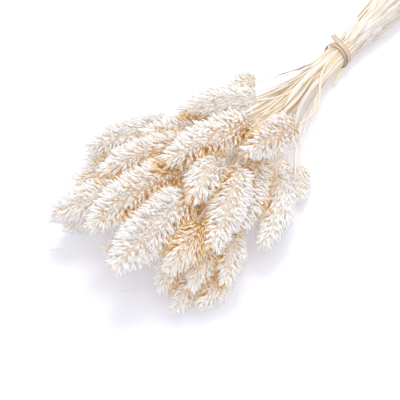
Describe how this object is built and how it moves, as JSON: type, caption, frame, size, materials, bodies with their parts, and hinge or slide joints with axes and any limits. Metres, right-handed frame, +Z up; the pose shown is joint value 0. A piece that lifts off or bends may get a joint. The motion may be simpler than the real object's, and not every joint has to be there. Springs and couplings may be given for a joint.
{
  "type": "dried canary grass bunch",
  "caption": "Tied bunch of bleached dried canary grass lying on its side, with oval spikelet-covered seed heads at one end, thin straw stems, loose leaf blades and a wound flat strip.",
  "frame": {"origin": "bottom centre of the bounding box; the bunch lies on the plane z = 0", "axes": "+X along the bunch towards its cut ends, with the seed heads towards -X; +Z up from the surface it lies on"},
  "size_m": [0.5318, 0.1276, 0.0624],
  "materials": {
    "stalk": "bleached dried seed heads and straw stems, matt",
    "leaf": "bleached dried grass blade, dull",
    "tie": "flat natural fibre strip, matt"
  },
  "bodies": {
    "root": {"stalk_01": "stalk", "stalk_02": "stalk", "stalk_03": "stalk", "stalk_04": "stalk", "stalk_05": "stalk", "stalk_06": "stalk", "stalk_07": "stalk", "stalk_08": "stalk", "stalk_09": "stalk", "stalk_10": "stalk", "stalk_11": "stalk", "stalk_12": "stalk", "stalk_13": "stalk", "stalk_14": "stalk", "stalk_15": "stalk", "stalk_16": "stalk", "stalk_17": "stalk", "stalk_18": "stalk", "stalk_19": "stalk", "stalk_20": "stalk", "stalk_21": "stalk", "stalk_22": "stalk", "stalk_23": "stalk", "stalk_24": "stalk", "stalk_25": "stalk", "stalk_26": "stalk", "stalk_27": "stalk", "stalk_28": "stalk", "stalk_29": "stalk", "stalk_30": "stalk", "stalk_31": "stalk", "leaf_blade_1": "leaf", "leaf_blade_2": "leaf", "leaf_blade_3": "leaf", "leaf_blade_4": "leaf", "tie_strip": "tie"}
  },
  "joints": []
}
